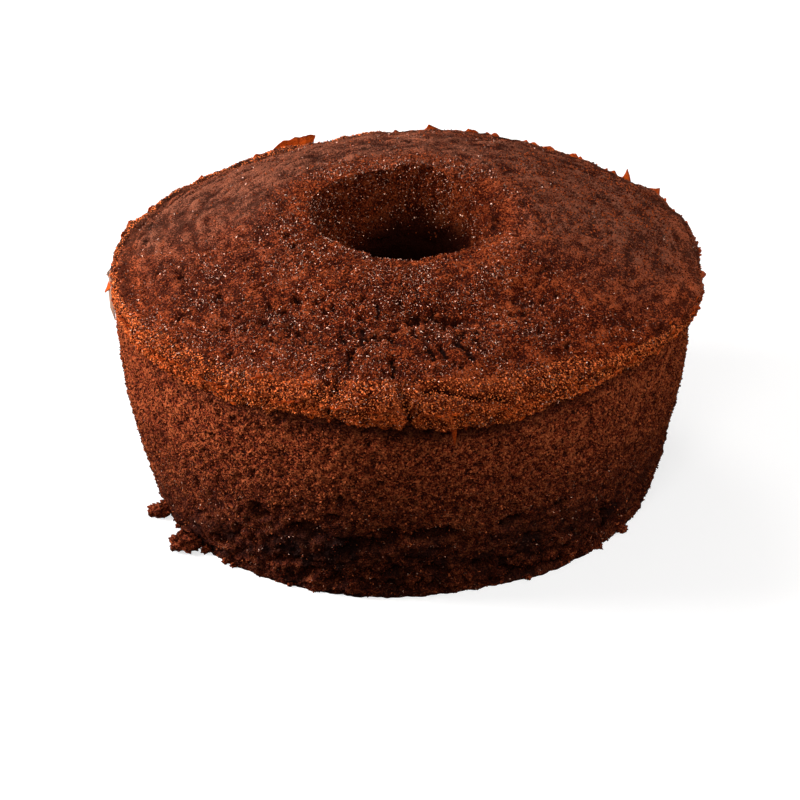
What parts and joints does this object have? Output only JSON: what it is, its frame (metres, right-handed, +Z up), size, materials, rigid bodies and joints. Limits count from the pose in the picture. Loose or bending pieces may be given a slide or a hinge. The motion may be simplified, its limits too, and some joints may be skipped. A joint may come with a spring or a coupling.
{
  "type": "chocolate ring cake",
  "caption": "Whole chocolate ring cake with a domed, craggy crust, a thin overhanging rim, tapering crumb sides and a funnel-shaped hole through the middle.",
  "frame": {"origin": "middle of the flat underside, under the middle of the cake's outline", "axes": "+Z up along the hole, -Y towards the side that the picture shows, +X to that side's right"},
  "size_m": [0.2406, 0.241, 0.1222],
  "materials": {
    "cake": "matte baked chocolate crumb, with a darker, slightly glossy crust on top"
  },
  "bodies": {
    "root": {"cake": "cake"}
  },
  "joints": []
}
